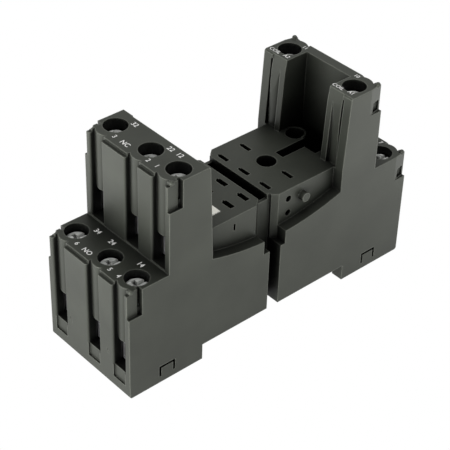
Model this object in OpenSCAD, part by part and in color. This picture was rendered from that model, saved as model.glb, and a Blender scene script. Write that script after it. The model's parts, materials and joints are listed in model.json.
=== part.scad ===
// Plug-in relay socket for a 35 mm rail: three change-over contacts and a coil.
// X runs along the socket from the contact end (-X) to the coil end (+X), Y runs
// across it, Z points up from the feet. The origin is under the middle of the socket.

/* [Overall] */
// Length of the socket along X
body_l = 78; // [70:1:94]
// Width of the socket across Y
body_w = 26.5; // [26:0.5:32]
// Height of the two towers
body_h = 48.2; // [45:0.1:58]

/* [Terminal steps] */
// Height of the lower terminal step at both ends
step_h = 27; // [25.5:0.1:32]
// Depth of the lower step, from the end face to the tower
step_d = 10.15; // [9.9:0.05:12]
// Depth of the contact tower at its top
contact_tower_d = 10.25; // [10:0.05:12]
// Depth of the coil tower at its top
coil_tower_d = 9.3; // [9.1:0.05:11]
// Recess of the wire channels behind the end faces
channel_depth = 0.75; // [0.5:0.05:1]
// Width of a wire channel and of its entry window
window_w = 3.7; // [3.2:0.1:4.2]
// Height of a wire entry window
window_h = 7.2; // [6:0.1:8]
// Sill of the lower windows above the feet
low_sill = 5.8; // [5.6:0.1:6.5]

/* [Relay bay] */
// Height of the relay bay floor
floor_h = 30.6; // [29:0.1:36]
// How far the side shells stand proud of the core
shell_t = 2.6; // [2.2:0.1:3]
// Lowest height of the curved ledge on the side shells
ledge_h = 22.6; // [20:0.1:26]
// Radius of the curved ledge
ledge_r = 60; // [50:1:80]
// Distance between relay pins across the socket
pin_pitch = 6.6; // [6:0.1:7]
// Width of the cross groove between the two floor halves
groove_w = 2.55; // [2:0.05:3]
// Radius of the central fixing hole
fixing_r = 2.2; // [1.8:0.05:2.4]

/* [Rail] */
// Height of the rail recess above the feet
recess_h = 3.9; // [3.5:0.1:4.6]
// Length of the foot at the contact end
contact_foot_l = 19.15; // [18:0.05:22]
// Length of the foot at the coil end
coil_foot_l = 17.8; // [17:0.05:21]
// Travel of the rail latch
latch_travel = 2.5; // [1.5:0.1:3]

/* [Terminals] */
// Radius of a screw well
well_r = 2.6; // [2.4:0.05:2.7]
// Radius of a screw head
head_r = 2.25; // [2:0.05:2.3]
// Height of a screw head
head_h = 1.6; // [1.2:0.1:2]
// Radius of the screw thread
thread_r = 1.5; // [1.25:0.05:1.6]
// Width of a clamp cage across Y
cage_w = 4.2; // [4:0.1:4.4]
// Depth of a clamp cage along X
cage_d = 4.4; // [4:0.1:4.6]
// Sheet thickness of the contact strips
strip_t = 0.8; // [0.6:0.05:1]

/* [Hidden] */
$fn = 48;
eps = 0.02;
fit = 0.05;          // radial clearance of a running fit
gap = 0.3;           // clearance between pieces that move past each other
seat = 0.1;          // clearance round a piece that is pressed into a pocket

half_l = body_l / 2;
half_w = body_w / 2;
core_y = half_w - shell_t;

// Terminal columns: distance of each column from the middle, and its pin's
side_col = half_w - 3.5;
well_y = [side_col, -1.4, -side_col];
pin_y = [pin_pitch, 0, -pin_pitch];

// Screw axes, measured inwards from the end face
low_u = 4.8;
high_u = step_d + 5.15;
high_sill = step_h + 0.4;
low_head_z = step_h - 1.7;
high_head_z = body_h - 2.4;

// Heights inside a terminal, above its window sill
cage_wall = 0.6;
cage_floor = 1;
cage_cap = 1.8;
cage_lift = 0.3;                              // cage bottom above the sill at rest
tongue_up = window_h + 0.4;                   // underside of the contact tongue
cap_up = tongue_up + strip_t + gap;           // underside of the cage's threaded cap
cage_h = cap_up + cage_cap - cage_lift;
cage_side_gap = 0.25;

// Relay pin rows along X, from the middle of the socket
row_nc = -7.8;
row_no = row_nc + 4.12;
row_com = row_no + 6.23;
row_coil = row_com + 6.33;
groove_x = -0.5;
shell_gap_x = -0.15;
shell_gap_w = 3.15;
gap_notch_w = 1.55;
gap_notch_h = 3.4;
groove_floor = floor_h - 7;
web_y = [core_y - 2.35, core_y - 1.55];       // webs that close the groove's ends

// Wire channels: depth at the edges, lip radius and radius of the bulging floor
channel_edge = channel_depth + 0.6;
lip_r = 0.5;
column_r = 3;

// Slope of the tower faces that look into the bay
tower_draft = 1;
shell_step = 0.6;

// Coil posts: how far the foot of the inner fin reaches into the bay, its outer face, and
// the radius of the screw column behind it
fin_reach = 1.95;
fin_y = 8;
post_column_r = 4.6;
module_y = 6.5;                               // half the gap between the posts

// Round socket for a plug-in module, beside the gap between the coil posts
boss_x = 20.9;
boss_y = 3.9;
boss_r = 2.5;
boss_wall = 0.4;
boss_rim = 0.25;

// Contact runs and the base
run_low = 7.2;
run_high = 13.2;
base_top = 5.35;
base_t = 1.3;
wall_in = 2.9;                                // side wall thickness round the base
base_y = half_w - wall_in;
foot_u = [contact_foot_l, coil_foot_l];

// Retaining stud and detents on the core's sides
stud_x = 9.4;
stud_r = 1.08;
stud_l = 1.35;

// Marker notches at the outer corners
notch_l = 3.35;
notch_h = 6.4;
notch_t = 0.7;
notch_slot_w = 0.75;
notch_slot_t = 0.95;
notch_deep_t = 1.3;
nub_r = 0.6;

// Terminals: number, end (0 contact, 1 coil), column, level (0 low, 1 high), row, way round
TERMINALS = [
    ["34", 0, 0, 0, row_no], ["24", 0, 1, 0, row_no], ["14", 0, 2, 0, row_no],
    ["32", 0, 0, 1, row_nc], ["22", 0, 1, 1, row_nc], ["12", 0, 2, 1, row_nc],
    ["31", 1, 0, 0, row_com], ["21", 1, 1, 0, row_com], ["11", 1, 2, 0, row_com],
    ["A2", 1, 0, 1, row_coil], ["A1", 1, 2, 1, row_coil]
];

black = [0.13, 0.13, 0.135];
brass = [0.78, 0.62, 0.32];
steel = [0.75, 0.76, 0.78];
cream = [0.9, 0.88, 0.8];

// ---- placing helpers ----

// Children drawn with +X pointing inwards from an end face: end 0 is -X, end 1 is +X
module at_end(end) {
    if (end == 0) translate([-half_l, 0, 0]) children();
    else translate([half_l, 0, 0]) mirror([1, 0, 0]) children();
}

// A box between two corners
module block(low, high) {
    translate(low) cube(high - low);
}

// An outline in X and Z, extruded across Y between y0 and y1
module across(y0, y1) {
    translate([0, y1, 0]) rotate([90, 0, 0]) linear_extrude(y1 - y0) children();
}

// Children on both sides of the XZ plane
module both_sides() {
    children();
    mirror([0, 1, 0]) children();
}

function sill(level) = level == 0 ? low_sill : high_sill;
function head_z(level) = level == 0 ? low_head_z : high_head_z;
function axis_u(level) = level == 0 ? low_u : high_u;
function face_u(level) = level == 0 ? 0 : step_d;
function top_z(level) = level == 0 ? step_h : body_h;
function levels_of(end, column) = end == 1 && column == 1 ? [0] : [0, 1];
// Distance of a pin row from the end face that its terminal belongs to
function row_u(t) = t[1] == 0 ? half_l + t[4] : half_l - t[4];
function column_y(t) = well_y[t[2]];

// ---- the housing ----

// Outline of the block in the end frame, up to the middle of the socket
module end_outline(end) {
    foot = foot_u[end];
    tower = end == 0 ? contact_tower_d : coil_tower_d;
    edge = 0.35;
    polygon([
        [edge, 0], [foot, 0], [foot, recess_h], [half_l + 1, recess_h],
        [half_l + 1, floor_h], [step_d + tower + tower_draft, floor_h],
        [step_d + tower, body_h - edge], [step_d + tower - edge, body_h],
        [step_d + edge, body_h], [step_d, body_h - edge], [step_d, step_h],
        [edge, step_h], [0, step_h - edge], [0, edge]
    ]);
}

// The space over the side shells, down to the curved ledge
module ledge_space() {
    left = -half_l + step_d + contact_tower_d;
    right = half_l - step_d - coil_tower_d;
    intersection() {
        across(-half_w - 1, half_w + 1)
            polygon([
                [left + tower_draft, 0], [right - tower_draft, 0],
                [right - tower_draft, floor_h + 4], [right, body_h + 1],
                [left, body_h + 1], [left + tower_draft, floor_h - 4]
            ]);
        translate([(left + right) / 2, 0, ledge_h + ledge_r])
            rotate([90, 0, 0]) cylinder(r = ledge_r, h = body_w + 2, center = true, $fn = 96);
    }
}

module core_space() {
    left = -half_l + step_d + contact_tower_d - shell_step;
    right = half_l - step_d - coil_tower_d;
    across(-core_y, core_y)
        polygon([
            [left + tower_draft, floor_h], [right - fin_reach, floor_h], [right - fin_reach + 0.25, floor_h + 4],
            [right + shell_step / 2, body_h], [right + shell_step / 2, body_h + 1], [left, body_h + 1]
        ]);
}

// The gap between the coil posts, with the pocket for a plug-in module behind the floor
module module_bay() {
    front = half_l - step_d - coil_tower_d - fin_reach;
    floor_end = front + 3.9;
    back = half_l - step_d - 3.1;
    slot_w = 1.2;
    block([front - 0.1, -module_y, floor_h], [back, module_y, body_h + 1]);
    difference() {
        block([floor_end, -module_y, floor_h - 6], [back, module_y, floor_h + eps]);
        translate([boss_x, boss_y, 0]) cylinder(r = boss_r, h = body_h);
    }
    block([front + 1.3, -4.5, floor_h - 3], [floor_end + eps, slot_w, floor_h + eps]);
    block([row_coil + 3.7, -slot_w, floor_h - 3], [front + 1.4, slot_w, floor_h + eps]);
    translate([boss_x, boss_y, floor_h - 3]) cylinder(r = boss_r - boss_wall, h = body_h);
}

// Fronts of the coil posts: a recess between the inner fin and the shell, down to the
// screw column, and a slit along the shell
module post_recesses() {
    front = half_l - step_d - coil_tower_d - fin_reach - 1;
    both_sides() {
        difference() {
            block([front, fin_y, floor_h], [front + 4, core_y + 0.1, body_h - 1]);
            translate([half_l - high_u, side_col, 0]) cylinder(r = post_column_r, h = body_h, $fn = 96);
        }
        across(core_y - 0.05, core_y + 0.4)
            polygon([[front, floor_h], [front + 3.8, floor_h], [front + 3.6, body_h - 1.2], [front, body_h - 1.2]]);
    }
}

module groove_cuts() {
    x0 = groove_x - groove_w / 2;
    x1 = groove_x + groove_w / 2;
    g0 = shell_gap_x - shell_gap_w / 2;
    g1 = shell_gap_x + shell_gap_w / 2;
    corner = 1.9;
    block([x0, -web_y[0], groove_floor], [x1, web_y[0], body_h]);
    block([x0, -half_w - 1, floor_h - 1.2], [x1, half_w + 1, body_h]);
    both_sides() {
        block([g0, web_y[1], -1], [g1, half_w + 1, body_h]);
        block([g0 - gap_notch_w - 0.1, core_y, ledge_h - gap_notch_h + 0.2], [g1 + gap_notch_w - 0.3, half_w + 1, body_h]);
        translate([0, 0, ledge_h - gap_notch_h + 0.2]) linear_extrude(body_h)
            polygon([
                [x0 - corner, core_y + eps], [x0 + eps, web_y[1]], [x1 - eps, web_y[1]], [x1 + corner, core_y + eps]
            ]);
    }
}

// Plan of a wire channel: rounded lips, and a floor that bulges out round the screw well
module channel_plan() {
    half = window_w / 2;
    difference() {
        translate([-1, -half - lip_r]) square([1 + channel_edge, window_w + 2 * lip_r]);
        for (side = [-1, 1]) {
            translate([lip_r, side * (half + lip_r)]) circle(r = lip_r);
            translate([lip_r, side * (half + lip_r / 2 + 1) - lip_r / 2 - 1]) square([channel_edge, lip_r + 2]);
        }
        translate([channel_depth + column_r, 0]) circle(r = column_r, $fn = 96);
    }
}

// Channels, windows and rim recess of one end face at one level
module face_cuts(end, level) {
    face = face_u(level);
    low = sill(level);
    top = top_z(level);
    columns = [for (c = [0:2]) if (len([for (l = levels_of(end, c)) if (l == level) l]) > 0) c];
    for (c = columns) {
        y = well_y[c];
        translate([face, y, low]) linear_extrude(top + 1 - low) channel_plan();
        block([face - 1, y - window_w / 2, low], [axis_u(level), y + window_w / 2, low + window_h]);
        if (level == 0)
            block([-1, y - window_w / 2, low - 3.2], [0.35, y + window_w / 2, low + eps]);
    }
    block([face - 1, -half_w + notch_t, top - 0.7], [face + channel_depth, half_w - notch_t, top + 1]);
}

// Holders for marker tags. At the contact end each is a shallow notch with a deep slot at
// its inner end; at the coil end its floor runs out inwards, with a small pocket low down.
module marker_notch(end, level) {
    face = face_u(level);
    top = top_z(level);
    low = top - notch_h;
    both_sides()
        if (end == 0) {
            block([face - 1, half_w - notch_t, low], [face + notch_l, half_w + 1, top + 1]);
            block([face + notch_l - notch_slot_w, half_w - notch_slot_t, low], [face + notch_l, half_w + 1, top + 1]);
            block([face + notch_l - notch_slot_w, half_w - notch_deep_t, low + notch_h / 4],
                  [face + notch_l, half_w + 1, top + 1]);
        } else {
            translate([0, 0, low]) linear_extrude(notch_h + 1)
                polygon([[face - 1, half_w - notch_t], [face, half_w - notch_t], [face + notch_l, half_w],
                         [face + notch_l, half_w + 1], [face - 1, half_w + 1]]);
            block([face + 0.5, half_w - notch_slot_t, low + 0.3], [face + 2.5, half_w + 1, low + 2.7]);
        }
}

module marker_nub(level) {
    both_sides()
        translate([face_u(level) + channel_depth + 0.3, half_w - notch_t, top_z(level)])
            sphere(r = nub_r, $fn = 24);
}

// Well, screw hole and cage shaft of one terminal
module terminal_cut(t) {
    level = t[3];
    y = column_y(t);
    u = axis_u(level);
    head = head_z(level);
    shaft_top = head - head_h - 1;
    shaft_low = level == 0 ? base_top - eps : high_sill;
    translate([u, y, head - head_h]) cylinder(r = well_r, h = body_h);
    translate([u, y, shaft_top - eps]) cylinder(r = thread_r + fit, h = head_h + 1);
    block([u - cage_d / 2 - gap, y - cage_w / 2 - cage_side_gap, shaft_low],
          [u + cage_d / 2 + gap, y + cage_w / 2 + cage_side_gap, shaft_top]);
}

// ---- contact strips ----

leg_u = [low_u + 3.4, high_u + 3];            // near side of the leg behind each cage
strip_w = 2.4;                                // width of a strip
coil_leg_w = 1.9;                             // width of a coil strip's leg, beside the post slot

// Plan of a run from the leg to the pin row: at step_u it steps sideways to the pin's column
function run_plan(from_u, to_u, step_u, from_y, to_y, w0, w1) = [
    [from_u, from_y - w0 / 2], [step_u, from_y - w0 / 2], [step_u + 4, to_y - w1 / 2],
    [to_u, to_y - w1 / 2], [to_u, to_y + w1 / 2], [step_u + 4, to_y + w1 / 2],
    [step_u, from_y + w0 / 2], [from_u, from_y + w0 / 2]
];
// The middle common strip goes round the fixing hole, so its neighbours step in beyond it
bypass_y = -fixing_r - 2.1;
function bypass_plan(from_u, to_u, from_y, w0, w1) = let (
    hole = half_l - row_coil, near = fixing_r + 1.2
) [
    [from_u, from_y - w0 / 2], [hole - near - 3, from_y - w0 / 2], [hole - near, bypass_y - w1 / 2],
    [hole + near - 1.2, bypass_y - w1 / 2], [half_l - row_com - 0.6, -w1 / 2], [to_u, -w1 / 2],
    [to_u, w1 / 2], [half_l - row_com - 0.6, w1 / 2],
    [hole + near - 1.2, bypass_y + w1 / 2], [hole - near, bypass_y + w1 / 2],
    [hole - near - 3, from_y + w0 / 2], [from_u, from_y + w0 / 2]
];

function leg_y(t) = t[1] == 1 && t[3] == 1 ? sign(column_y(t)) * (abs(column_y(t)) - 1.65) : column_y(t);
function leg_w(t) = t[1] == 1 && t[3] == 1 ? coil_leg_w : strip_w;
function step_u(t) = t[1] == 1 && t[3] == 0 ? half_l - row_coil : leg_u[t[3]] + 3.5;
function run_z(t) = t[3] == 0 ? run_low : run_high;
function tongue_z(t) = sill(t[3]) + tongue_up;
function goes_round(t) = t[1] == 1 && t[2] == 1;

// Everything of a strip below the fork, grown by a clearance: it cuts its own channel too
module strip_body(t, grow = 0) {
    level = t[3];
    u = axis_u(level);
    leg = leg_u[level];
    y = column_y(t);
    z = tongue_z(t);
    to_u = row_u(t) + strip_t / 2;
    is_coil = leg_w(t) != strip_w;
    // tongue through the cage
    block([u - cage_d / 2 + 0.3 - grow, y - strip_w / 2 - grow, z - grow],
          [(is_coil ? leg + 0.2 : leg + strip_t) + grow, y + strip_w / 2 + grow, z + strip_t + grow]);
    if (is_coil)
        block([leg - 0.4 - grow, leg_y(t) - leg_w(t) / 2 - grow, z - grow],
              [leg + strip_t + grow, leg_y(t) + leg_w(t) / 2 + grow, z + strip_t + grow]);
    // leg
    block([leg - grow, leg_y(t) - leg_w(t) / 2 - grow, run_z(t) - grow],
          [leg + strip_t + grow, leg_y(t) + leg_w(t) / 2 + grow, z + strip_t + grow]);
    // run
    translate([0, 0, run_z(t) - grow]) linear_extrude(strip_t + 2 * grow)
        polygon(goes_round(t)
            ? bypass_plan(leg - grow, to_u + grow, y, strip_w + 2 * grow, strip_w + 2 * grow)
            : run_plan(leg - grow, to_u + grow, step_u(t), leg_y(t), pin_y[t[2]],
                       leg_w(t) + 2 * grow, strip_w + 2 * grow));
    // riser
    block([to_u - strip_t - grow, pin_y[t[2]] - strip_w / 2 - grow, run_z(t) - grow],
          [to_u + grow, pin_y[t[2]] + strip_w / 2 + grow, fork_z - 1]);
}

fork_top = floor_h - 1.5;
fork_h = 8;
fork_z = fork_top - fork_h;
leaf_t = 0.35;

// Side view of the two spring leaves that grip a relay pin
module fork_outline() {
    foot = 1;
    grip = 0.28;
    flare = 0.75;
    polygon([
        [-foot, -1.2], [foot, -1.2], [foot, 0], [grip + leaf_t, fork_h - 1.2], [flare + leaf_t, fork_h],
        [flare, fork_h], [grip, fork_h - 1.2], [foot - leaf_t, 0.3], [-foot + leaf_t, 0.3],
        [-grip, fork_h - 1.2], [-flare, fork_h], [-flare - leaf_t, fork_h], [-grip - leaf_t, fork_h - 1.2], [-foot, 0]
    ]);
}

module contact(t) {
    color(brass) at_end(t[1]) {
        strip_body(t);
        translate([row_u(t), pin_y[t[2]], fork_z])
            across(-strip_w / 2, strip_w / 2) fork_outline();
    }
}

// Channel, fork chamber and pin slot of one contact
module contact_cut(t) {
    strip_body(t, seat);
    u = row_u(t);
    y = pin_y[t[2]];
    block([u - 1.3, y - 1.4, fork_z - 1.3], [u + 1.3, y + 1.4, fork_top + 0.4]);
    half = t[1] == 0 ? 0.62 : 0.5;
    block([u - half, y - 1.4, fork_top], [u + half, y + 1.4, floor_h + 1]);
    block([u - 0.25, y, fork_top + 0.5], [u + 0.25, y + 1.75, floor_h + 1]);
}

// ---- base openings in the housing ----

window_u = [7.6, 11.8];
window_z = [1.6, 4.3];
tongue_slot = 0.55;
tongue_t = 1.2;
barb_z = 2.9;

module base_cut(end) {
    reach = end == 0 ? half_l + groove_x - groove_w / 2 - 2 : half_l - groove_x - groove_w / 2 - 2;
    block([1.45, -base_y, -1], [reach, base_y, base_top]);
    both_sides() {
        // a slot on three sides of each snap tongue, and the space behind the tongue
        difference() {
            block([window_u[0], base_y - 1, window_z[0]], [window_u[1], half_w + 1, window_z[1]]);
            block([window_u[0] + tongue_slot, half_w - tongue_t, 0],
                  [window_u[1] - tongue_slot, half_w + 2, window_z[1] - tongue_slot]);
        }
    }
}

// Barbs of the snap tongues, over the side walls of one bottom cover
module barbs() {
    both_sides()
        translate([window_u[0] + tongue_slot + 0.4, 0, 0]) rotate([90, 0, 90])
            linear_extrude(window_u[1] - window_u[0] - 2 * tongue_slot - 0.8)
                polygon([
                    [half_w - tongue_t + eps, barb_z], [base_y - 0.6, barb_z], [base_y - 0.6, barb_z + 0.3],
                    [half_w - tongue_t + eps, barb_z + 0.75]
                ]);
}

latch_w = 10;
latch_flange = 1;

module housing() {
    color(black)
    union() {
        difference() {
            union() {
                at_end(0) across(-half_w, half_w) end_outline(0);
                at_end(1) across(-half_w, half_w) end_outline(1);
            }
            difference() {
                ledge_space();
                block([-half_l, -core_y, 0], [half_l, core_y, floor_h]);
            }
            core_space();
            module_bay();
            post_recesses();
            groove_cuts();
            for (end = [0, 1]) at_end(end) {
                for (level = [0, 1]) {
                    face_cuts(end, level);
                    marker_notch(end, level);
                }
                base_cut(end);
            }
            for (t = TERMINALS) at_end(t[1]) {
                terminal_cut(t);
                contact_cut(t);
            }
            // central fixing hole
            translate([row_coil, 0, -1]) cylinder(r = fixing_r, h = body_h);
            // pocket of the coding insert
            block([insert_x[0] - seat, -insert_y - seat, floor_h - 0.5], [insert_x[1] + seat, insert_y + seat, floor_h + 1]);
            // detents for the retaining clip, and a slit in the contact half
            both_sides() {
                for (z = [floor_h - 2.4, floor_h - 6])
                    translate([stud_x - 3.9, core_y + eps, z]) rotate([90, 0, 0]) cylinder(r = 0.75, h = 1.2, $fn = 24);
                block([-9.8, core_y - 0.8, floor_h - 3.4], [-9.3, core_y + 1, floor_h - 1.8]);
            }
            // two narrow slits between the lower windows of the contact end
            for (y = [6.3, -6.2])
                translate([-half_l - 1, y, 8.2]) rotate([90, 0, 90]) linear_extrude(1.8)
                    polygon([[0.35, 0.8], [0, 0.75], [-0.35, -0.8]]);
            // mouth for the latch's tail
            block([half_l - 2, -latch_w / 2 - latch_flange - gap, -1], [half_l + 1, latch_w / 2 + latch_flange + gap, 2.6]);
        }
        both_sides()
            translate([stud_x, core_y - 0.5, floor_h - 3.1]) rotate([-90, 0, 0]) cylinder(r = stud_r, h = stud_l + 0.5);
        for (end = [0, 1]) at_end(end) {
            for (level = [0, 1]) marker_nub(level);
            barbs();
        }
        // raised rim on the inner half of the module's round socket
        translate([boss_x, boss_y, floor_h - eps]) difference() {
            cylinder(r = boss_r, h = boss_rim + eps);
            translate([0, 0, -1]) cylinder(r = boss_r - boss_wall, h = 3);
            block([-boss_r - 1, -boss_r - 1, -1], [0, boss_r + 1, 3]);
        }
    }
}

// ---- covers, latch and insert ----

insert_x = [-17.1, -10.6];
insert_y = 7.4;
module coding_insert() {
    color(cream) block([insert_x[0], -insert_y, floor_h - 0.5], [insert_x[1], insert_y, floor_h + 0.1]);
}

hook_block = 3.05;
hook_lip = 1.3;
hook_y = 7;

// One bottom cover: foot tray, step up to the rail recess, recess plate and snap lugs
module end_cover(end) {
    foot = foot_u[end] - 0.15;
    low = end == 0 ? 0.3 : 2.5;
    reach = end == 0 ? half_l + groove_x - groove_w / 2 - 2 - seat : half_l - groove_x - groove_w / 2 - 2 - seat;
    side = base_y - seat;
    color(black) at_end(end) difference() {
        union() {
            across(-side, side)
                polygon([
                    [1.45 + seat, low], [foot, low], [foot, recess_h], [reach, recess_h], [reach, base_top - seat],
                    [foot - base_t, base_top - seat], [foot - base_t, low + base_t], [1.45 + seat, low + base_t]
                ]);
            both_sides() {
                block([window_u[0] - 1, side - 1.2, low], [window_u[1] + 1, side, low + base_t + eps]);
                block([window_u[0] + 0.2, side - 1.2, low], [window_u[1] - 0.2, side, barb_z - seat]);
            }
            if (end == 0) across(-hook_y, hook_y)
                polygon([
                    [foot - eps, 0.5], [foot + hook_block + hook_lip, 1.1], [foot + hook_block + hook_lip, 2.3],
                    [foot + hook_block, 2.3], [foot + hook_block, recess_h + eps], [foot - eps, recess_h + eps]
                ]);
            else both_sides()
                across(latch_w / 2 + latch_flange + gap, latch_w / 2 + latch_flange + gap + 1.3)
                    polygon([[2.2, 0.1], [foot, 0.1], [foot, low + eps], [2.2, low + eps]]);
            if (end == 1) both_sides()
                block([2.2, latch_w / 2 + gap, 0.1], [foot, latch_w / 2 + latch_flange + gap + eps, 0.8]);
        }
        // ledges under the housing's snap barbs
        both_sides()
            block([window_u[0], side - 0.75, barb_z - seat], [window_u[1], side + 1, base_top]);
        if (end == 1) {
            translate([half_l - row_coil, 0, -1]) cylinder(r = fixing_r + 0.3, h = 9);
            // room for the latch nose to draw back
            block([coil_foot_l - latch_travel - 0.2, -latch_w / 2 + 0.2, -1], [coil_foot_l + 1, latch_w / 2 - 0.2, recess_h]);
        }
    }
}

// Rail latch: a flat slider with side flanges, a nose under the rail and a tail to pull
module rail_latch() {
    nose = coil_foot_l + hook_block;
    color(black) at_end(1) difference() {
        union() {
            block([0.4, -latch_w / 2, 0.4], [coil_foot_l + 0.2, latch_w / 2, 2.2]);
            block([2.4, -latch_w / 2 - latch_flange, 1.1], [coil_foot_l - 0.4 - latch_travel, latch_w / 2 + latch_flange, 2.2]);
            across(-latch_w / 2 + 0.5, latch_w / 2 - 0.5)
                polygon([
                    [coil_foot_l, 0.4], [nose, 0.9], [nose + hook_lip, 1.3], [nose + hook_lip, 2.2],
                    [nose, 2.2], [nose, recess_h - 0.3], [coil_foot_l + 0.15, recess_h - 0.3], [coil_foot_l + 0.15, 2.2]
                ]);
        }
        // screwdriver slot in the tail
        block([1.2, -2, -1], [2.4, 2, 5]);
    }
}

// ---- clamp cages and screws ----

module cage(t) {
    z = sill(t[3]) + cage_lift;
    inner = cage_w / 2 - cage_wall;
    color(steel) at_end(t[1]) translate([axis_u(t[3]), column_y(t), z]) difference() {
        block([-cage_d / 2, -cage_w / 2, 0], [cage_d / 2, cage_w / 2, cage_h]);
        block([-cage_d, -inner, cage_floor], [cage_d, inner, cage_h - cage_cap]);
        cylinder(r = thread_r + fit, h = cage_h + 1);
        translate([0, 0, -1]) cylinder(r = thread_r - 0.4, h = 3);
    }
}

module screw(t) {
    level = t[3];
    tip = tongue_z(t) + strip_t + 0.1;
    head = head_z(level);
    seat_z = head - head_h + fit;
    arm = 0.45;
    color(steel) at_end(t[1]) translate([axis_u(level), column_y(t), 0]) difference() {
        union() {
            translate([0, 0, seat_z]) cylinder(r = head_r, h = head_h - fit - 0.25);
            translate([0, 0, head - 0.26]) cylinder(r1 = head_r, r2 = head_r - 0.35, h = 0.26);
            translate([0, 0, tip]) cylinder(r = thread_r, h = seat_z - tip + eps);
        }
        block([-head_r - 1, -arm, head - 0.8], [head_r + 1, arm, head + 1]);
        block([-arm, -head_r * 0.62, head - 1], [arm, head_r * 0.62, head + 1]);
    }
}

housing();
end_cover(0);  // contact_end_cover
end_cover(1);  // coil_end_cover
rail_latch();
coding_insert();
for (t = TERMINALS) {
    contact(t);
    cage(t);
    screw(t);
}
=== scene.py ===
# %% [markdown]
# # A plug-in relay socket for a rail
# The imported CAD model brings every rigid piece: the black housing, its two bottom covers,
# the rail latch, the contact strips, the clamp cages and the terminal screws. This lesson
# gives them their finishes, adds the white print, and sets up the light and the camera.
# Everything is in metres, in the CAD model's own frame.

import json
import math

import bmesh
import bpy
from mathutils import Matrix, Vector


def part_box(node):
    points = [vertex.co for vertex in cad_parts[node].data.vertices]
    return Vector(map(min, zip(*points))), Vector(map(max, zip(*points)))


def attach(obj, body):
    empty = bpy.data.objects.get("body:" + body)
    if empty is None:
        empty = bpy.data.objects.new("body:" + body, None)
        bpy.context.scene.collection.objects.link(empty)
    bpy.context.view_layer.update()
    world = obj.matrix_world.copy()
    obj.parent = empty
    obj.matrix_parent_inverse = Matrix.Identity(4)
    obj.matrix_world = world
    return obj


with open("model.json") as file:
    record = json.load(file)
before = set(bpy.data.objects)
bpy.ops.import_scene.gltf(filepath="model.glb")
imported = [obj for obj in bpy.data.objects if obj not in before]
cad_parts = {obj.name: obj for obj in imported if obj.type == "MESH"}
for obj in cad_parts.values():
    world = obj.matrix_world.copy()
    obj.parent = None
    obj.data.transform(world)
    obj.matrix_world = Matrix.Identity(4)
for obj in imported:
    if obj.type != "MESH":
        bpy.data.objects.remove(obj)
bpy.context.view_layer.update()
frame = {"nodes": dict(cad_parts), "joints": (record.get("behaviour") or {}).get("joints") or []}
mm = 0.001

# %% [markdown]
# ## Places
# The screws' joints and boxes say where everything is, so the print follows the CAD model
# when it changes. Each screw's head lies a known depth below the rim of its well.

# %% Sizes taken from the frame
TOWER_HEAD_DEPTH = 2.4 * mm      # from a tower's top down to its screw heads
STEP_HEAD_DEPTH = 1.7 * mm       # and from a lower step's top
TOWER_FROM = 35 * mm             # a screw placed above this is a tower's

terminals = {
    joint["child"].split("_", 1)[1]: Vector(joint["pos_m"])
    for joint in frame["joints"] if joint["child"].startswith("screw_")
}
head_tops = [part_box("screw_" + terminal)[1].z for terminal in terminals]
tower_top = max(head_tops) + TOWER_HEAD_DEPTH
step_top = min(head_tops) + STEP_HEAD_DEPTH
print(len(terminals), "terminals; tops in mm:", round(step_top / mm, 2), round(tower_top / mm, 2))

# %% [markdown]
# ## Tools for node materials
# Every finish here is built from the same few nodes, so four small helpers make them:
# one starts a material, one adds a node with its values, and two wire up the commonest
# pairs, a noise that sits still on its piece and a ramp that colours it.

# %% Starting a material and adding nodes
def new_material(name):
    material = bpy.data.materials.new(name)
    material.use_nodes = True
    tree = material.node_tree
    tree.nodes.clear()
    output = tree.nodes.new("ShaderNodeOutputMaterial")
    shader = tree.nodes.new("ShaderNodeBsdfPrincipled")
    tree.links.new(shader.outputs["BSDF"], output.inputs["Surface"])
    return material, tree, shader


def add_node(tree, kind, **values):
    """A new node; a value is one of its settings, or else one of its input sockets."""
    node = tree.nodes.new(kind)
    for key, value in values.items():
        if hasattr(node, key):
            setattr(node, key, value)
        else:
            node.inputs[key.replace("_", " ")].default_value = value
    return node


# %% Noise and colour
def object_noise(tree, scale, detail=3.0, roughness=0.5):
    place = add_node(tree, "ShaderNodeTexCoord")
    noise = add_node(tree, "ShaderNodeTexNoise", Scale=scale, Detail=detail, Roughness=roughness)
    tree.links.new(place.outputs["Object"], noise.inputs["Vector"])
    return noise


def ramp(tree, source, stops):
    """Two colours, each at its own place along source."""
    node = add_node(tree, "ShaderNodeValToRGB")
    for element, (position, colour) in zip(node.color_ramp.elements, stops):
        element.position = position
        element.color = (*colour, 1.0)
    tree.links.new(source, node.inputs["Fac"])
    return node


# %% [markdown]
# Two more turn one value into another. A range goes from what a node measures to what the
# shader needs, and a blend goes from one colour to another.

# %% Ranges and blends
def remap(tree, source, target, reads=(0.0, 1.0), **settings):
    """Carry source from the range reads to the range target."""
    node = add_node(tree, "ShaderNodeMapRange", **settings)
    for socket, value in zip(("From Min", "From Max", "To Min", "To Max"), (*reads, *target)):
        node.inputs[socket].default_value = value
    tree.links.new(source, node.inputs["Value"])
    return node.outputs["Result"]


def blend(tree, factor, first, second):
    """Mix two colours, each a plain colour or another node's output."""
    node = add_node(tree, "ShaderNodeMix", data_type="RGBA")
    tree.links.new(factor, node.inputs["Factor"])
    for socket, colour in ((node.inputs[6], first), (node.inputs[7], second)):
        if isinstance(colour, tuple):
            socket.default_value = (*colour, 1.0)
        else:
            tree.links.new(colour, socket)
    return node.outputs[2]


def enclosed(tree, reach, reads):
    """0 deep inside the piece's own pockets, 1 out in the open."""
    shade = add_node(
        tree, "ShaderNodeAmbientOcclusion", samples=8, only_local=True, Distance=reach
    )
    return remap(tree, shade.outputs["AO"], (0.0, 1.0), reads)


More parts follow.
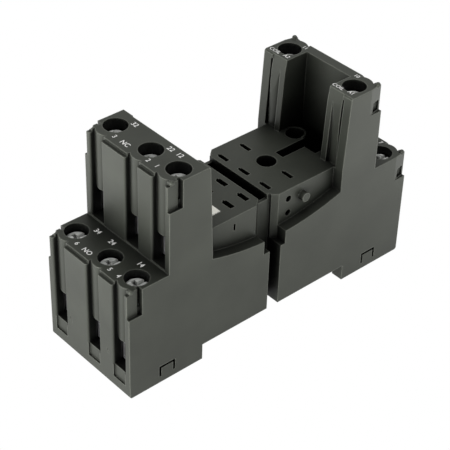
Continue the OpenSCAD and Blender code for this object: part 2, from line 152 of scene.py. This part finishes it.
# %% [markdown]
# ## Moulded black plastic
# The housing is a glass-filled polyamide moulding: nearly black, with a fine spark-eroded
# texture that spreads each reflection. A painted highlight makes its edges a little lighter
# than the flats. A fine noise drives the bump, a slower one varies the roughness, and a bevel
# normal rounds the hard edges of the exact solids so that they catch the light. Ambient
# occlusion finds the slots and pockets, where painted shade makes the plastic black and dims its
# sheen.

# %% The plastic itself
MOTTLE = (0.78, 1.2)             # darkest and lightest patch, as a share of the colour
EDGE_HIGHLIGHT_READS = (0.998, 0.88)       # how far a rounded normal leans before an edge gets its painted highlight
MOST_EDGE_HIGHLIGHT = 0.9
# painted shade: ambient occlusion paints the pockets black and dims their sheen
POCKET_REACH = 14 * mm
POCKET_READS = (0.32, 1.0)
POCKET_PAINTED_SHADE = (0.001, 0.001, 0.001)
SHEEN_IN_PAINTED_SHADE = (0.12, 0.12, 0.12)
OPEN_SHEEN = (0.96, 1.0, 0.88)   # the light that the plastic throws back is a little green


def moulded_plastic(name, colour, highlight_colour, roughness=(0.36, 0.52), grain=0.04 * mm):
    material, tree, shader = new_material(name)
    link = tree.links.new
    mottle = object_noise(tree, 90.0, detail=4.0)
    dark, pale = ([c * share for c in colour] for share in MOTTLE)
    tint = ramp(tree, mottle.outputs["Fac"], [(0.3, dark), (0.7, pale)])
    # edges: where the bevelled normal leaves the true one, a painted highlight makes the plastic
    # lighter
    rounded = add_node(tree, "ShaderNodeBevel", samples=4, Radius=0.35 * mm)
    geometry = add_node(tree, "ShaderNodeNewGeometry")
    lean = add_node(tree, "ShaderNodeVectorMath", operation="DOT_PRODUCT")
    link(rounded.outputs["Normal"], lean.inputs[0])
    link(geometry.outputs["Normal"], lean.inputs[1])
    highlight_mask = remap(tree, lean.outputs["Value"], (0.0, MOST_EDGE_HIGHLIGHT), EDGE_HIGHLIGHT_READS)
    with_highlight = blend(tree, highlight_mask, tint.outputs["Color"], highlight_colour)
    # painted shade: slots and pockets are painted black, and their sheen is dimmed
    painted_pocket_shade = enclosed(tree, POCKET_REACH, POCKET_READS)
    link(blend(tree, painted_pocket_shade, POCKET_PAINTED_SHADE, with_highlight), shader.inputs["Base Color"])
    link(blend(tree, painted_pocket_shade, SHEEN_IN_PAINTED_SHADE, OPEN_SHEEN), shader.inputs["Specular Tint"])
    # sheen varies slowly over the moulding
    flow = object_noise(tree, 45.0, detail=2.0)
    link(remap(tree, flow.outputs["Fac"], roughness), shader.inputs["Roughness"])
    # spark-eroded grain
    fine = object_noise(tree, 5200.0, detail=2.0, roughness=0.6)
    bump = add_node(tree, "ShaderNodeBump", Strength=0.35, Distance=grain)
    link(fine.outputs["Fac"], bump.inputs["Height"])
    link(rounded.outputs["Normal"], bump.inputs["Normal"])
    link(bump.outputs["Normal"], shader.inputs["Normal"])
    shader.inputs["IOR"].default_value = 1.5
    return material


# %% The four plastics
# each plastic's second colour is the painted highlight on its edges
housing_plastic = moulded_plastic("housing_plastic", (0.034, 0.037, 0.030), (0.20, 0.21, 0.18))
cover_plastic = moulded_plastic("cover_plastic", (0.031, 0.034, 0.028), (0.18, 0.19, 0.165))
latch_plastic = moulded_plastic(
    "latch_plastic", (0.032, 0.034, 0.031), (0.11, 0.112, 0.105), roughness=(0.35, 0.5)
)
insert_plastic = moulded_plastic(
    "insert_plastic", (0.78, 0.77, 0.70), (0.85, 0.84, 0.80), grain=0.01 * mm
)
plastics = (housing_plastic, cover_plastic, latch_plastic, insert_plastic)
print("plastics:", [plastic.name for plastic in plastics])

# %% [markdown]
# ## Metals
# The screws and clamp cages are zinc-plated steel, and the contact strips are stamped
# brass. Both come from a rolled or turned blank, so a stretched noise gives the fine lines,
# and a slow one clouds the plating. The screwdriver has dented the screws' heads, and
# every metal's recesses are darkened with painted shade.

# %% Plated and stamped metal
ROLLED = (1.0, 1.0, 8.0)         # stretches the noise into lines
# painted shade: ambient occlusion darkens the recesses of every metal
RECESS_SHADE_REACH = 1.0 * mm
RECESS_SHADE_READS = (0.25, 0.65)
RECESS_PAINTED_SHADE = (0.10, 0.10, 0.10)


def sheet_metal(name, colour, cloud, roughness, dents=0.0, metallic=1.0):
    material, tree, shader = new_material(name)
    link = tree.links.new
    place = add_node(tree, "ShaderNodeTexCoord")
    stretch = add_node(tree, "ShaderNodeMapping")
    stretch.inputs["Scale"].default_value = ROLLED
    link(place.outputs["Object"], stretch.inputs["Vector"])
    streak = add_node(tree, "ShaderNodeTexNoise", Scale=900.0, Detail=3.0)
    link(stretch.outputs["Vector"], streak.inputs["Vector"])
    clouds = object_noise(tree, 420.0, detail=3.0)
    tint = ramp(tree, clouds.outputs["Fac"], [(0.35, cloud), (0.65, colour)])
    # painted shade darkens the recesses
    painted_recess_shade = enclosed(tree, RECESS_SHADE_REACH, RECESS_SHADE_READS)
    link(blend(tree, painted_recess_shade, RECESS_PAINTED_SHADE, tint.outputs["Color"]), shader.inputs["Base Color"])
    link(remap(tree, streak.outputs["Fac"], roughness), shader.inputs["Roughness"])
    rounded = add_node(tree, "ShaderNodeBevel", samples=4, Radius=0.12 * mm)
    bump = add_node(tree, "ShaderNodeBump", Strength=0.3, Distance=0.01 * mm)
    link(streak.outputs["Fac"], bump.inputs["Height"])
    link(rounded.outputs["Normal"], bump.inputs["Normal"])
    # each dent that the driver leaves holds a glint
    worked = object_noise(tree, 1000.0, detail=1.0)
    dent = add_node(tree, "ShaderNodeBump", Strength=1.0, Distance=dents)
    link(worked.outputs["Fac"], dent.inputs["Height"])
    link(bump.outputs["Normal"], dent.inputs["Normal"])
    link(dent.outputs["Normal"], shader.inputs["Normal"])
    shader.inputs["Metallic"].default_value = metallic
    return material


# %% The three metals
screw_zinc = sheet_metal(
    "screw_zinc", (0.97, 0.98, 0.95), (0.72, 0.74, 0.71), (0.26, 0.42),
    dents=0.35 * mm, metallic=0.5,
)
cage_zinc = sheet_metal("cage_zinc", (0.62, 0.62, 0.62), (0.45, 0.45, 0.46), (0.30, 0.50))
strip_brass = sheet_metal("strip_brass", (0.72, 0.54, 0.26), (0.58, 0.42, 0.20), (0.28, 0.45))
print("metals:", [metal.name for metal in (screw_zinc, cage_zinc, strip_brass)])

# %% [markdown]
# ## Finishes on the carried-over pieces
# A CAD node keeps its mesh, so its finish is simply put in its material slots.

# %% Give every node its finish
FINISHES = {
    "housing": housing_plastic,
    "contact_end_cover": cover_plastic,
    "coil_end_cover": cover_plastic,
    "rail_latch": latch_plastic,
    "coding_insert": insert_plastic,
    "contact": strip_brass,
    "cage": cage_zinc,
    "screw": screw_zinc,
}

for name, node in frame["nodes"].items():
    finish = FINISHES.get(name) or FINISHES[name.split("_")[0]]
    node.data.materials.clear()
    node.data.materials.append(finish)
print("finished", len(frame["nodes"]), "CAD nodes")

# %% [markdown]
# ## Printed terminal numbers
# The real housing is pad printed in white. Each number here is a text object made into a
# mesh, laid a few hundredths of a millimetre above the plastic. They read from the contact
# end, with their feet towards -X. The numbers are the plain ones that any three-pole
# change-over socket has: tens for the pole, units for what the contact does.

# %% White print
INK_LIFT = 0.03 * mm
INK_SPREAD = 0.02                # how far the ink swells each stroke, as a share of its height
CAPITAL = 0.69                   # height of a capital in the built-in typeface, at size 1


def print_ink():
    material, tree, shader = new_material("print_ink")
    speckle = object_noise(tree, 2600.0, detail=2.0)
    thin, full = (0.72, 0.72, 0.70), (0.88, 0.88, 0.86)
    tint = ramp(tree, speckle.outputs["Fac"], [(0.35, thin), (0.55, full)])
    tree.links.new(tint.outputs["Color"], shader.inputs["Base Color"])
    shader.inputs["Roughness"].default_value = 0.6
    return material


white_ink = print_ink()


# %% Laying one mark
def lay_print(name, words, near, offset, height):
    """White characters on top of the housing, offset in mm from a terminal's screw."""
    place = terminals[near]
    top = tower_top if place.z > TOWER_FROM else step_top
    curve = bpy.data.curves.new(name, "FONT")
    curve.body = words
    curve.size = height / CAPITAL
    curve.align_x = "CENTER"
    curve.offset = height * INK_SPREAD
    curve.resolution_u = 3
    text = bpy.data.objects.new(name, curve)
    bpy.context.scene.collection.objects.link(text)
    bpy.context.view_layer.update()
    mesh = bpy.data.meshes.new_from_object(text)
    bpy.data.objects.remove(text)
    middle = Matrix.Translation((0.0, -height / 2, 0.0))
    turned = Matrix.Rotation(math.radians(-90.0), 4, "Z")
    spot = (place.x + offset[0] * mm, place.y + offset[1] * mm, top + INK_LIFT)
    mesh.transform(Matrix.Translation(spot) @ turned @ middle)
    mesh.materials.clear()
    mesh.materials.append(white_ink)
    piece = bpy.data.objects.new(name, mesh)
    bpy.context.scene.collection.objects.link(piece)
    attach(piece, "base")


# %% Numbers beside each screw
DIGIT = 1.15 * mm
SMALL = 1.05 * mm
WORD = 1.15 * mm
COIL_WORD = 0.95 * mm

# terminal: its pin's number, then the offsets of both numbers from the screw's axis, in mm
NUMBERS = {
    "32": ("3", (3.1, -2.3), (-2.6, -3.1)),
    "22": ("2", (3.1, -2.3), (-2.7, -2.5)),
    "12": ("1", (3.1, 3.3), (-2.6, 3.3)),
    "34": ("6", (3.2, -2.9), (-2.4, -3.4)),
    "24": ("5", (3.2, 3.5), (-2.4, -3.0)),
    "14": ("4", (3.2, 2.7), (-2.4, 2.6)),
    "31": ("9", (-3.1, -2.9), (2.9, -2.7)),
    "21": ("8", (-3.1, -2.9), (2.9, -2.7)),
    "11": ("7", (-3.1, 2.9), (2.9, 2.7)),
}
# words between two screws or along a post: words, nearest terminal, offset and height
WORDS = [
    ("NC", "32", (-2.6, -6.4), WORD),
    ("NO", "34", (-2.4, -6.8), WORD),
    ("COIL", "A2", (-2.9, 1.5), COIL_WORD),
    ("A2", "A2", (-2.7, -1.9), COIL_WORD),
    ("COIL", "A1", (-2.8, 1.9), COIL_WORD),
    ("A1", "A1", (-2.4, -1.5), COIL_WORD),
    ("11", "A2", (2.9, -1.8), COIL_WORD),
    ("10", "A1", (3.2, 2.4), COIL_WORD),
]

for number, (pin, offset, pin_offset) in NUMBERS.items():
    lay_print("number_" + number, number, number, offset, DIGIT)
    lay_print("pin_" + number, pin, number, pin_offset, SMALL)
for index, (words, near, offset, height) in enumerate(WORDS):
    lay_print("word_%d" % index, words, near, offset, height)
print("printed", 2 * len(NUMBERS) + len(WORDS), "marks")

# %% [markdown]
# ## Floor, light and camera
# The socket stands on a white sweep, and most of its light comes up from the floor and in
# from the sides. The tops and the inside of the bay see only the dimmer ceiling, which is
# why they are the darkest places on the part. A low panel in front of the contact end
# makes its end faces the brightest, and a small lamp high above puts a glint in the
# screws' heads.

# %% Floor
FLOOR_NEAR = 0.75                # what the floor sends up beside the part, which shades it
FLOOR_FAR = 1.75                 # and what it sends up out in the open
FLOOR_SHADED = (0.03, 0.12)      # from here to here, in metres from the middle
FLOOR_GAP = 0.05 * mm            # keeps the feet and the floor from lying in one plane


def floor_material():
    material, tree, _ = new_material("white_sweep")
    link = tree.links.new
    place = add_node(tree, "ShaderNodeTexCoord")
    reach = add_node(tree, "ShaderNodeVectorMath", operation="LENGTH")
    link(place.outputs["Object"], reach.inputs[0])
    bounce = add_node(tree, "ShaderNodeEmission")
    sent_up = remap(tree, reach.outputs["Value"], (FLOOR_NEAR, FLOOR_FAR), FLOOR_SHADED)
    link(sent_up, bounce.inputs["Strength"])
    # the camera sees plain white, and the part gets the light
    plain = add_node(tree, "ShaderNodeEmission", Strength=1.0)
    path = add_node(tree, "ShaderNodeLightPath")
    choose = add_node(tree, "ShaderNodeMixShader")
    link(path.outputs["Is Camera Ray"], choose.inputs["Fac"])
    link(bounce.outputs["Emission"], choose.inputs[1])
    link(plain.outputs["Emission"], choose.inputs[2])
    # seen from below the sweep is clear, so that the underside and its rail latch show
    clear = add_node(tree, "ShaderNodeBsdfTransparent")
    side = add_node(tree, "ShaderNodeNewGeometry")
    one_sided = add_node(tree, "ShaderNodeMixShader")
    link(side.outputs["Backfacing"], one_sided.inputs["Fac"])
    link(choose.outputs["Shader"], one_sided.inputs[1])
    link(clear.outputs["BSDF"], one_sided.inputs[2])
    link(one_sided.outputs["Shader"], tree.nodes["Material Output"].inputs["Surface"])
    return material


def build_floor():
    mesh = bpy.data.meshes.new("floor")
    shape = bmesh.new()
    bmesh.ops.create_grid(shape, x_segments=2, y_segments=2, size=3.0)
    bmesh.ops.translate(shape, verts=shape.verts, vec=(0.0, 0.0, -FLOOR_GAP))
    shape.to_mesh(mesh)
    shape.free()
    mesh.materials.append(floor_material())
    floor = bpy.data.objects.new("floor", mesh)
    bpy.context.scene.collection.objects.link(floor)


build_floor()
print("floor laid", FLOOR_GAP / mm, "mm below the feet")

# %% World: white to the camera, a dim pale room to the part
WALLS = 0.6
CEILING = 0.55
WALL_TO_CEILING = (0.30, 0.85)   # how steeply up the room turns from wall to ceiling


def build_world():
    world = bpy.data.worlds.new("studio")
    bpy.context.scene.world = world
    world.use_nodes = True
    tree = world.node_tree
    tree.nodes.clear()
    link = tree.links.new
    output = tree.nodes.new("ShaderNodeOutputWorld")
    way = add_node(tree, "ShaderNodeTexCoord")
    split = add_node(tree, "ShaderNodeSeparateXYZ")
    link(way.outputs["Generated"], split.inputs["Vector"])
    rise = remap(
        tree, split.outputs["Z"], (WALLS, CEILING), WALL_TO_CEILING,
        interpolation_type="SMOOTHSTEP",
    )
    room = add_node(tree, "ShaderNodeBackground", Color=(1.0, 1.0, 1.0, 1.0))
    seen = add_node(tree, "ShaderNodeBackground", Color=(1.0, 1.0, 1.0, 1.0), Strength=1.0)
    path = add_node(tree, "ShaderNodeLightPath")
    choose = add_node(tree, "ShaderNodeMixShader")
    link(rise, room.inputs["Strength"])
    link(path.outputs["Is Camera Ray"], choose.inputs["Fac"])
    link(room.outputs["Background"], choose.inputs[1])
    link(seen.outputs["Background"], choose.inputs[2])
    link(choose.outputs["Shader"], output.inputs["Surface"])


build_world()


# %% Lamps
def soft_lamp(name, place, size, power, aim=(0.0, 0.0, 0.03)):
    """A rectangular lamp of the given size and watts, turned to the middle of the part."""
    lamp = bpy.data.lights.new(name, "AREA")
    lamp.shape = "RECTANGLE"
    lamp.size, lamp.size_y = size
    lamp.energy = power
    thing = bpy.data.objects.new(name, lamp)
    thing.location = place
    thing.rotation_euler = (Vector(place) - Vector(aim)).to_track_quat("Z", "Y").to_euler()
    bpy.context.scene.collection.objects.link(thing)


soft_lamp("end_panel", place=(-0.55, -0.10, 0.06), size=(0.4, 0.11), power=2.6)
soft_lamp("glint", place=(-0.03, -0.02, 0.60), size=(0.26, 0.26), power=0.8)
print("lamps:", [lamp.name for lamp in bpy.data.lights])

# %% [markdown]
# ### The camera
# A long lens close to the part: the view looks down on the contact end's near corner. The
# camera is turned about its target by two angles and a small roll, and the shift moves the
# lens's axis a little off the middle of the frame.

# %% Camera
IMAGE = 450.0                    # side of the square frame, in the units of focal and middle
SENSOR = 36.0


def build_camera(azimuth, elevation, roll, distance, target, focal, middle):
    """Angles are in degrees, and distance and target in mm."""
    camera = bpy.data.cameras.new("camera")
    camera.sensor_width = SENSOR
    camera.lens = focal / IMAGE * SENSOR
    camera.shift_x = (IMAGE / 2 - middle[0]) / IMAGE
    camera.shift_y = (middle[1] - IMAGE / 2) / IMAGE
    camera.clip_start = 0.01
    thing = bpy.data.objects.new("camera", camera)
    a, e, r = (math.radians(v) for v in (azimuth, elevation, roll))
    back = Vector((math.sin(a) * math.cos(e), -math.cos(a) * math.cos(e), math.sin(e)))
    right = Vector((math.cos(a), math.sin(a), 0.0))
    up = back.cross(right)
    across = right * math.cos(r) + up * math.sin(r)
    upright = up * math.cos(r) - right * math.sin(r)
    turn = Matrix((across, upright, back)).transposed().to_4x4()
    thing.matrix_world = Matrix.Translation(Vector(target) * mm + back * distance * mm) @ turn
    bpy.context.scene.collection.objects.link(thing)
    bpy.context.scene.camera = thing
    print("camera", round(distance), "mm away, lens", round(camera.lens, 1), "mm")


build_camera(
    azimuth=-42.13, elevation=36.74, roll=1.643, distance=421.67,
    target=(55.98, 66.41, -45.11), focal=1463.6, middle=(219.6, 217.4),
)
bpy.context.scene.view_settings.view_transform = "Standard"
